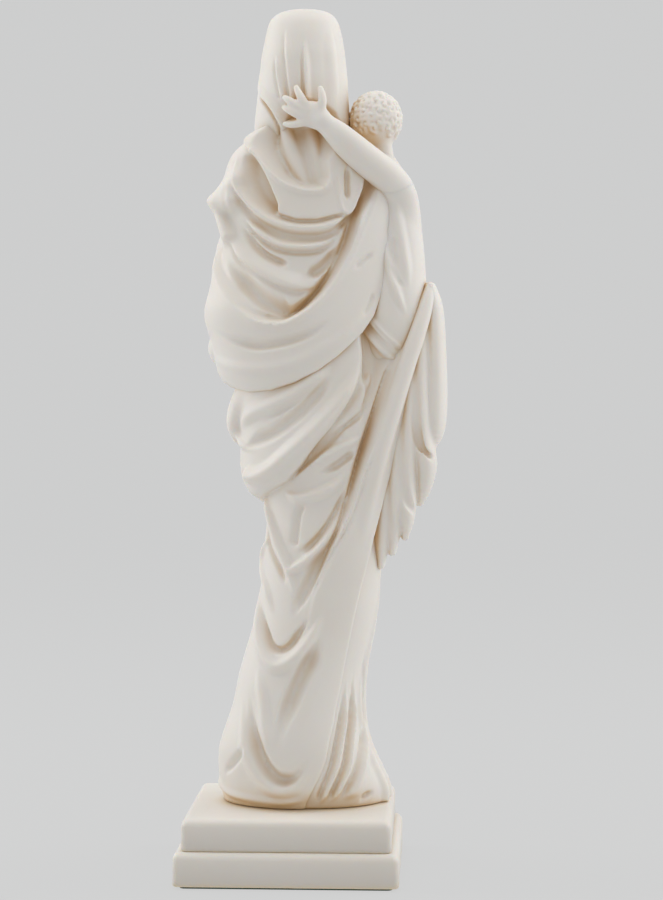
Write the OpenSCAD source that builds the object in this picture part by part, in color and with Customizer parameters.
// Madonna and child statue: a draped standing figure with a child on its right arm, on a two-step plinth.
// Millimetres, +Z up. The origin is the centre of the underside, and the faces look towards -Y.

/* [Plinth] */
// Side of the square lower step
lower_side = 102; // [98:1:110]
// Height of the lower step, with the pad under it
lower_top = 16.5; // [14:0.5:18]
// Side of the square upper step
upper_side = 95; // [90:1:97]
// Height of the top of the plinth
plinth_top = 31; // [30:0.5:34]
// Radius of the plinth's upright corners
corner_r = 2.5; // [1.5:0.5:4]
// Thickness of the felt pad
pad_t = 1.2; // [1:0.2:2]
// How far the pad stays inside the edge of the lower step
pad_inset = 3; // [2:0.5:6]

/* [Anchor] */
// Radius of the steel rod that holds the figure on its plinth
rod_r = 3; // [2:0.5:4]
// How far the rod reaches up into the gown
rod_reach = 60; // [30:5:80]
// Radius of the washer under the plinth
washer_r = 8; // [6:0.5:10]
// Thickness of the washer
washer_t = 1.4; // [1:0.2:2]
// Width of the nut across its corners
nut_w = 11.5; // [9:0.5:13]
// Thickness of the nut
nut_t = 4.6; // [3:0.2:5]

/* [Figure] */
// Depth of the flutes in the gown, as a share of its radius
flute = 0.035; // [0:0.005:0.05]
// Number of flutes round the gown
flutes = 11; // [7:1:13]
// Depth of the flutes in the bunched cloth on the right side, as a share of its radius
cascade_flute = 0.06; // [0:0.01:0.08]
// Radius across the opening of the veil, round the face
face_opening = 13; // [11:0.5:14]
// Sides of each ring of the large draped forms
sides = 32; // [24:4:32]

/* [Hidden] */

ivory = "#ece6d8";
steel = "#9a9da1";
felt = "#3f5f48";
bore_gap = 0.05;    // radial play of the rod in its bores
recess_gap = 1;     // play round the nut and washer in their recess
limb_sides = 14;    // sides of a limb's rings
small_sides = 10;   // sides of a finger's or fold's rings
fold_sink = 0.68;   // share of a fold's radius that its centre lies below the cloth
overlap = 0.01;     // lets a cutter pass clean through a face
swag_flutes = 7;    // flutes round the swag
cascade_flutes = 5; // flutes round the bunched cloth
reach_y = 60;       // clear of the figure at the front and the back

rod_low = pad_t + 1;
rod_top = plinth_top + rod_reach;
recess_r = washer_r + recess_gap;
recess_top = rod_low + nut_t + washer_t;

// Rings of the draped forms, from the bottom up: height, centre x and y, half width and half depth.
gown_rings = [
    [plinth_top, -6, -6, 38, 26], [36, -5, -4, 37, 28], [45, -2.5, -2, 34.5, 29], [60, -0.5, -1, 31, 28],
    [76, -2, -2, 27.5, 26], [92, -5, -2, 26, 25], [106, -8, -3, 25.5, 24.5], [123, -12, -3, 25, 24],
    [137, -13.5, -4, 25, 24], [155, -14, -4, 25.5, 24], [175, -13, -4, 26.5, 24.5], [192, -11, -3, 27, 24],
    [210, -8, -2, 27, 23], [228, -5, -1, 25, 21.5], [244, -4, -1, 23.5, 20.5]
];
mantle_rings = [
    [plinth_top + 1.5, 6, -6, 29, 28], [38, 6, -4, 30, 30], [50, 6, -1, 30, 32], [62, 4, 0, 30, 31],
    [78, 1, -1, 28, 29], [92, -3, -1, 28, 28], [108, -7, -2, 28, 27], [123, -11, -2, 28.5, 27],
    [137, -13, -3, 29, 27], [155, -15, -3, 30.5, 27.5], [170, -15, -2, 33, 28], [182, -14, -1, 37, 29],
    [196, -14, -1, 39, 29], [210, -15, -1, 41.5, 28], [224, -16, -1, 42, 27], [240, -17, -2, 43, 25],
    [254, -19, -3, 43, 22], [262, -20, -3, 42, 18]
];
swag_rings = [
    [222, 3, 0, 29, 28], [228, 1, 0, 34, 31], [238, -1, 0, 38, 31.5], [250, -1, 0, 39.5, 31],
    [264, 0, 0, 40.5, 30], [278, -0.5, 0, 40, 29], [292, -2, 0, 38, 27], [306, -4, 0, 36, 25.5],
    [318, -6, 0, 34.5, 23.5], [328, -6, 1, 31, 21.5], [336, -6, 1, 26, 18.5], [343, -6, 2, 19, 14]
];
bodice_rings = [
    [244, -4, -1, 23.5, 20.5], [258, -4, -3, 25, 21.5], [272, -4, -5, 27, 22.5], [288, -5, -5, 27.5, 21.5],
    [302, -6, -4, 28, 18.5], [314, -6, -2, 27, 15.5], [322, -6, 0, 22, 12.5], [330, -6, 1, 12, 10]
];
veil_rings = [
    [337, -6, 8, 20, 15], [346, -6, 6, 20.5, 18.5], [356, -6, 4, 20.8, 20.5], [366, -6.5, 3, 20.5, 22],
    [376, -7, 2, 19.5, 22.5], [384, -7.5, 2, 17.5, 21], [391, -8, 2, 14, 17.5], [396.5, -8, 2, 9, 12],
    [400, -8, 2, 3, 4]
];
head_rings = [
    [343, -8.5, -12, 4, 4], [346, -8.5, -10, 8, 8], [352, -8, -7, 12, 13], [360, -7.5, -3, 14.5, 17.5],
    [370, -7.5, -1, 16, 20], [380, -7.5, 0, 15.5, 19.5], [388, -7.5, 1, 12.5, 16], [394, -7.5, 1, 7, 9],
    [396, -7.5, 1, 2, 3]
];
tunic_rings = [
    [240, -50, -8, 9, 12], [244, -50, -7, 12.5, 17], [252, -50, -5, 14, 18], [264, -49, -3, 13.5, 15],
    [278, -48, -1, 13, 12.5], [292, -47, 1, 12.5, 11.5], [306, -46, 2, 12.5, 11], [318, -45, 2, 11.5, 9.5],
    [328, -44, 2, 7.5, 6.5], [334, -43, 2, 4.5, 4.5]
];
child_head_rings = [
    [331.5, -40, -3, 3, 3], [334, -40, -2, 7, 7], [339, -40, -1, 10, 11], [346, -40, 0, 12, 13.5],
    [353, -40, 0, 11.5, 12.5], [358.5, -40, 0, 8, 9], [361.5, -40, 0, 3, 3.5]
];
cascade_rings = [
    [138, -44, 0, 3, 3.5], [150, -46.5, 0, 7, 7], [164, -50, 0, 9.5, 10], [177, -55, 1, 12.5, 13],
    [184, -57, 1, 13, 14], [190, -55.5, 1, 10, 13], [194, -55, 1, 9.5, 13], [200, -58, 1, 12, 15],
    [208, -60, 1, 13, 16], [227, -60, 0, 12, 17], [240, -61, -1, 11, 17], [257, -62, -2, 9, 16],
    [268, -62, -3, 7.5, 14], [276, -61, -4, 4, 9], [281, -60, -4, 1.5, 4]
];

// Limbs: x, y, z and radius of each ring, from the root of the limb to its tip.
neck_line = [[-6, 2, 322, 9], [-6.5, 1, 334, 8.2], [-7, 0, 346, 8], [-7.2, 0, 354, 8.5]];
nose_line = [[-7.5, -19.5, 373, 1], [-7.5, -21.5, 367, 1.6], [-7.5, -23, 362.5, 2.1], [-7.5, -20, 360.5, 1.4]];
child_neck_line = [[-43, 2, 324, 5], [-42, 1, 331, 5], [-41, 0, 338, 5]];
child_nose_line = [[-39, -12.5, 348, 0.8], [-39, -14, 345, 1.3], [-39, -14.3, 343.5, 1.5], [-39, -12, 342.5, 1]];
right_hand_line = [
    [-30, -12, 238, 7.5], [-42, -18, 236, 7], [-52, -23, 236, 6], [-59, -28, 238, 5.6], [-63, -32, 241, 5],
    [-65, -34, 244, 2.5]
];
left_hand_line = [
    [26, -16, 240, 8], [14, -27, 237, 7.5], [2, -35, 237, 6.2], [-7, -39, 238.5, 4.8], [-15, -41, 240, 6],
    [-22, -42, 241, 6], [-26, -42.5, 241, 3]
];
right_foot_line = [[-18, -16, 37.5, 5], [-20, -28, 37, 5], [-21, -37, 35.5, 4], [-22, -43, 34.5, 2]];
left_foot_line = [[11, -14, 37.5, 5], [14, -26, 37, 5], [16, -35, 35.5, 4], [17, -41, 34.5, 2]];
child_left_arm_line = [
    [-51, 7, 318, 5.5], [-46, 15, 322, 6.2], [-38.5, 21, 326.5, 6.2], [-32.5, 25, 331, 6], [-27, 27, 336, 5.6],
    [-22, 28, 341, 4.6], [-17, 28.5, 345, 3.6], [-12.5, 28.5, 348.5, 4.8], [-8, 28.5, 350.5, 4], [-6, 28.5, 351, 2.2]
];
child_right_arm_line = [
    [-41, -6, 322, 4.6], [-38, -17, 315, 5], [-33, -26, 311, 4.4], [-26, -29, 315, 3.4], [-20, -29, 320, 3.8],
    [-16, -28, 325, 2]
];
child_left_leg_line = [
    [-55, -15, 250, 7.5], [-58, -28, 252, 8], [-58, -39, 249, 7], [-57, -43, 238, 5.8], [-57, -42, 222, 5],
    [-57, -42, 214, 4.2], [-57, -47, 208, 4], [-57, -52, 205, 2.2]
];
child_right_leg_line = [
    [-44, -16, 249, 7.5], [-41, -30, 251, 8], [-37, -41, 248, 7], [-33, -44, 237, 5.8], [-30, -43, 222, 5],
    [-28, -43, 214, 4.2], [-26, -48, 209, 4], [-24, -52.5, 206, 2.2]
];

// Fingers of each hand, as limbs of their own.
child_left_fingers = [
    [[-7, 28.5, 352, 1.5], [-5, 28.5, 357, 1.3], [-3.7, 27.5, 362, 0.9]],
    [[-6, 28.5, 351, 1.5], [-2, 28.5, 354.5, 1.3], [1.4, 27.5, 357.5, 0.9]],
    [[-6, 28.5, 350, 1.5], [-2, 28.5, 352, 1.3], [1.6, 27.5, 354, 0.9]],
    [[-7, 28.5, 348.5, 1.4], [-3, 28, 346.5, 1.2], [1, 26.5, 344.5, 0.9]],
    [[-12.5, 28.5, 351, 1.7], [-13.5, 28.5, 356, 1.4], [-14.2, 27.5, 361, 1]]
];
mother_left_fingers = [
    [[-23, -42, 245, 1.9], [-30, -43, 246, 1.8], [-37, -42, 245.5, 1.3]],
    [[-24, -43, 242, 2], [-31, -44, 242.5, 1.8], [-39, -43, 242, 1.3]],
    [[-24, -43, 239, 2], [-31, -44, 239, 1.8], [-38, -43, 238.5, 1.3]],
    [[-23, -42, 236.5, 1.8], [-29, -43, 236, 1.6], [-35, -42.5, 235.5, 1.2]],
    [[-12, -42, 244, 2.2], [-15, -44, 249, 2], [-19, -44, 253, 1.4]]
];
mother_right_fingers = [
    [[-61, -30, 243, 2], [-65, -33, 249, 1.8], [-66, -36, 255, 1.3]],
    [[-62, -32, 241, 2], [-66, -36, 246, 1.8], [-67, -40, 251, 1.3]],
    [[-61, -33, 239, 2], [-66, -38, 243, 1.8], [-67, -43, 246, 1.3]],
    [[-59, -32, 237, 1.8], [-63, -38, 238, 1.6], [-65, -43, 241, 1.2]]
];
child_right_fingers = [
    [[-17, -28.5, 324, 1.3], [-14.5, -27.5, 328, 1.1], [-12.5, -26, 331, 0.8]],
    [[-16.5, -28.5, 323, 1.3], [-13, -27.5, 326, 1.1], [-10.5, -26, 328, 0.8]],
    [[-17, -29, 321.5, 1.3], [-13, -28.5, 323, 1.1], [-10, -27, 324, 0.8]]
];

// Folds on the back, as x, height and radius; each lies on the surface of the form it belongs to.
swag_folds = [
    [[-41, 316, 9], [-39.5, 303, 9.5], [-36.5, 288, 10], [-31, 272, 10], [-24, 258, 10], [-15, 249, 10],
        [-5, 242, 10], [6, 239, 10], [17, 241, 10], [26, 248, 8.5], [32, 258, 7]],
    [[27, 292, 3.5], [20.5, 285, 5.5], [11.5, 277.5, 6.5], [2, 273, 6.5], [-7, 270.5, 6], [-15, 271, 3.5]],
    [[16, 301, 3.5], [9.5, 294, 5], [3, 287, 5], [-2, 281, 3]],
    [[22, 330, 4], [20, 321, 6], [14, 312, 6.5], [4, 305, 6.5], [-6, 301.5, 6.5], [-18, 301, 6],
        [-27, 304, 5], [-33, 310, 3.5]],
    [[13, 333, 4], [8, 326, 5.5], [0, 320, 6], [-9, 317, 6], [-17, 319, 5.5], [-25, 326, 4]]
];
mantle_folds = [
    [[10.5, 180, 4], [2, 183, 7], [-5, 190, 7.5], [-12.5, 199, 7.5], [-20, 207, 7.5], [-27, 216, 6.5],
        [-34, 229, 4]],
    [[11, 193, 4], [3, 197, 6], [-5, 205, 6.5], [-13, 214, 6], [-20, 223, 4]],
    [[-1, 171, 3.5], [-7, 174, 5], [-13, 178, 5.5], [-20, 182, 5], [-27, 188, 3.5]],
    [[0, 143, 3], [-6, 147, 5], [-12, 152, 5], [-19, 159, 3]],
    [[10, 113, 3.5], [5, 108, 5], [0, 104, 6], [-5, 108, 5], [-9, 114, 3.5]],
    [[16, 90, 3.5], [13, 68, 6], [8, 54, 7], [0, 50, 6.5], [-6, 54, 4]]
];

// The lower edge of the swag climbs from the left hip to the right shoulder across the back.
swag_hem = [
    [60, 205], [60, 236], [34, 232], [26, 226], [16, 222], [0, 224], [-12, 230], [-21, 237], [-31, 249],
    [-37, 262], [-42, 280], [-46, 300], [-46, 205]
];
// The free edge of the mantle falls from the right hip to the left foot; the gown shows beyond it.
mantle_edge = [
    [70, 30], [-12, 30], [-18, 50], [-22, 75], [-26, 105], [-31, 135], [-38, 165], [-46, 195], [-52, 215],
    [-62, 240], [-66, 270], [70, 270]
];

// The swag is open at the front, from the neck down to the waist: corner and size of the gap.
swag_gap = [[-14, -reach_y, 200], [34, 42, 128]];
// Middle of the veil's opening, how much taller than wide it is, and how deep it is cut.
face_at = [-7.5, -24, 362];
face_tall = 1.5;
face_depth = 34;
// Middle between the child's ears, how far each stands to its side, and its radius.
child_ears = [-40, 1, 345];
child_ear_out = 11.5;
child_ear_r = 2.6;

function unit(v) = v / norm(v);

// One closed ring of an elliptical form. ripple is the depth of the flutes as a share of the radius.
function ellipse_ring(s, n, ripple = 0, count = 0) = [
    for (i = [0:n - 1])
        let (a = 360 * i / n, k = 1 + ripple * cos(count * a))
            [s[1] + k * s[3] * sin(a), s[2] - k * s[4] * cos(a), s[0]]
];

// One ring across a limb at station i, square to the way the limb runs. The limb never runs along aside.
function limb_ring(line, i, n, aside) =
    let (
        last = len(line) - 1,
        here = [line[i][0], line[i][1], line[i][2]],
        before = line[max(i - 1, 0)],
        after = line[min(i + 1, last)],
        along = unit([after[0] - before[0], after[1] - before[1], after[2] - before[2]]),
        side = unit(cross(aside, along)),
        up = cross(along, side)
    )
        [for (k = [0:n - 1]) here + line[i][3] * (cos(360 * k / n) * side + sin(360 * k / n) * up)];

// Where the back of a ringed form lies, and a fold laid along it with its centre sunk below the surface.
function ring_at(rings, z, c) = lookup(z, [for (s = rings) [s[0], s[c]]]);
function back_of(rings, x, z) =
    let (
        across = (x - ring_at(rings, z, 1)) / ring_at(rings, z, 3),
        depth = ring_at(rings, z, 4)
    )
        ring_at(rings, z, 2) + depth * sqrt(max(1 - across * across, 0.1));
function on_back(rings, fold) =
    [for (p = fold) [p[0], back_of(rings, p[0], p[1]) - fold_sink * p[2], p[1], p[2]]];

// Skin over a stack of rings of n points each, closed at both ends.
module skin(rings, n) {
    count = len(rings);
    points = [for (r = rings) each r];
    walls = [
        for (j = [0:count - 2], i = [0:n - 1])
            let (a = j * n + i, b = j * n + (i + 1) % n)
                each [[a, a + n, b], [b, a + n, b + n]]
    ];
    ends = [[for (i = [0:n - 1]) i], [for (i = [n - 1:-1:0]) (count - 1) * n + i]];
    polyhedron(points, concat(walls, ends), convexity = 8);
}

module draped(rings, ripple = 0, count = 0)
    skin([for (s = rings) ellipse_ring(s, sides, ripple, count)], sides);

module limb(line, aside = [0, 0, 1], n = limb_sides)
    skin([for (i = [0:len(line) - 1]) limb_ring(line, i, n, aside)], n);

module fingers(lines) {
    for (line = lines) limb(line, [0, 1, 0], small_sides);
}

module folds(rings, lines) {
    for (line = lines) limb(on_back(rings, line), [0, 1, 0], small_sides);
}

// Cuts the later children out of the first, as one mesh. Resizing by nothing keeps every size as it is.
module carve() {
    resize([0, 0, 0]) difference() {
        children(0);
        for (i = [1:1:$children - 1]) children(i);
    }
}

module rounded_slab(side, low, high) {
    reach = side / 2 - corner_r;
    translate([0, 0, low]) linear_extrude(high - low) union() {
        square([side, side - 2 * corner_r], center = true);
        square([side - 2 * corner_r, side], center = true);
        for (x = [-reach, reach], y = [-reach, reach]) translate([x, y]) circle(corner_r, $fn = 48);
    }
}

// Profile in the plane of x and z, carried through the figure from the front to the back.
module through(profile, y_low, y_high)
    translate([0, y_high, 0]) rotate([90, 0, 0]) linear_extrude(y_high - y_low) polygon(profile);

module gown_form() draped(gown_rings, flute, flutes);
module bodice_form() draped(bodice_rings);
module head_form() {
    draped(head_rings);
    limb(neck_line, [1, 0, 0]);
    limb(nose_line, [1, 0, 0], small_sides);
}
module child_head_form() {
    draped(child_head_rings);
    limb(child_neck_line, [1, 0, 0]);
    limb(child_nose_line, [1, 0, 0], small_sides);
    for (side = [-1, 1])
        translate(child_ears + [child_ear_out * side, 0, 0]) scale([0.5, 1, 1.5]) sphere(child_ear_r, $fn = 16);
}
module mantle_form() intersection() {
    union() {
        draped(mantle_rings, flute / 2, flutes);
        folds(mantle_rings, mantle_folds);
    }
    through(mantle_edge, -reach_y, reach_y);
}
module swag_form() difference() {
    union() {
        draped(swag_rings, flute / 2, swag_flutes);
        folds(swag_rings, swag_folds);
    }
    through(swag_hem, 0, reach_y);
    translate(swag_gap[0]) cube(swag_gap[1]);
}
module child_legs_form() {
    limb(child_left_leg_line, [1, 0, 0]);
    limb(child_right_leg_line, [1, 0, 0]);
}
module right_hand_form() {
    limb(right_hand_line);
    fingers(mother_right_fingers);
}
module left_hand_form() {
    limb(left_hand_line);
    fingers(mother_left_fingers);
}
module child_left_arm_form() {
    limb(child_left_arm_line);
    fingers(child_left_fingers);
}
module child_right_arm_form() {
    limb(child_right_arm_line);
    fingers(child_right_fingers);
}

module felt_pad() color(felt) rounded_slab(lower_side - 2 * pad_inset, 0, pad_t);

module lower_step() color(ivory) difference() {
    rounded_slab(lower_side, pad_t, lower_top);
    translate([0, 0, pad_t - overlap]) cylinder(r = recess_r, h = recess_top - pad_t + overlap, $fn = 64);
    cylinder(r = rod_r + bore_gap, h = lower_top + overlap, $fn = 64);
}

module upper_step() color(ivory) difference() {
    rounded_slab(upper_side, lower_top, plinth_top);
    translate([0, 0, lower_top - overlap]) cylinder(r = rod_r + bore_gap, h = plinth_top, $fn = 64);
}

module anchor_rod() color(steel) translate([0, 0, rod_low]) cylinder(r = rod_r, h = rod_top - rod_low, $fn = 64);

module anchor_washer() color(steel) translate([0, 0, rod_low + nut_t]) difference() {
    cylinder(r = washer_r, h = washer_t, $fn = 64);
    translate([0, 0, -overlap]) cylinder(r = rod_r + bore_gap, h = washer_t + 2 * overlap, $fn = 64);
}

module anchor_nut() color(steel) translate([0, 0, rod_low]) difference() {
    cylinder(r = nut_w / 2, h = nut_t, $fn = 6);
    translate([0, 0, -overlap]) cylinder(r = rod_r + bore_gap, h = nut_t + 2 * overlap, $fn = 64);
}

module gown() color(ivory) difference() {
    gown_form();
    translate([0, 0, plinth_top - overlap]) cylinder(r = rod_r + bore_gap, h = rod_reach + overlap, $fn = 64);
}

module bodice() color(ivory) carve() {
    bodice_form();
    right_hand_form();
}

module mantle_skirt() color(ivory) carve() {
    mantle_form();
    gown_form();
    bodice_form();
    swag_form();
    draped(tunic_rings);
    right_hand_form();
    left_hand_form();
    child_legs_form();
}

module mantle_swag() color(ivory) carve() {
    swag_form();
    gown_form();
    bodice_form();
    right_hand_form();
    left_hand_form();
    limb(neck_line, [1, 0, 0]);
}

module mantle_cascade() color(ivory) carve() {
    draped(cascade_rings, cascade_flute, cascade_flutes);
    draped(tunic_rings);
    mantle_form();
    swag_form();
    right_hand_form();
    child_legs_form();
}

module veil() color(ivory) carve() {
    draped(veil_rings);
    head_form();
    bodice_form();
    swag_form();
    translate(face_at) scale([1, 1, face_tall]) rotate([90, 0, 0])
        cylinder(r = face_opening, h = face_depth, center = true, $fn = 28);
}

module mother_head() color(ivory) carve() {
    head_form();
    bodice_form();
}

module mother_right_hand() color(ivory) carve() {
    right_hand_form();
    gown_form();
}

module mother_left_hand() color(ivory) carve() {
    left_hand_form();
    gown_form();
    bodice_form();
}

module mother_right_foot() color(ivory) carve() {
    limb(right_foot_line, [1, 0, 0]);
    gown_form();
    mantle_form();
}

module mother_left_foot() color(ivory) carve() {
    limb(left_foot_line, [1, 0, 0]);
    gown_form();
    mantle_form();
}

module child_tunic() color(ivory) carve() {
    draped(tunic_rings);
    swag_form();
    right_hand_form();
}

module child_head() color(ivory) carve() {
    child_head_form();
    draped(tunic_rings);
    draped(veil_rings);
}

module child_left_arm() color(ivory) carve() {
    child_left_arm_form();
    draped(tunic_rings);
    child_head_form();
    draped(veil_rings);
    swag_form();
}

module child_right_arm() color(ivory) carve() {
    child_right_arm_form();
    draped(tunic_rings);
    bodice_form();
    swag_form();
    draped(veil_rings);
}

module child_left_leg() color(ivory) carve() {
    limb(child_left_leg_line, [1, 0, 0]);
    draped(tunic_rings);
    right_hand_form();
    limb(child_right_leg_line, [1, 0, 0]);
}

module child_right_leg() color(ivory) carve() {
    limb(child_right_leg_line, [1, 0, 0]);
    draped(tunic_rings);
    right_hand_form();
    left_hand_form();
    swag_form();
}

felt_pad();
lower_step();
upper_step();
anchor_rod();
anchor_washer();
anchor_nut();
gown();
bodice();
mantle_skirt();
mantle_swag();
mantle_cascade();
veil();
mother_head();
mother_right_hand();
mother_left_hand();
mother_right_foot();
mother_left_foot();
child_tunic();
child_head();
child_left_arm();
child_right_arm();
child_left_leg();
child_right_leg();
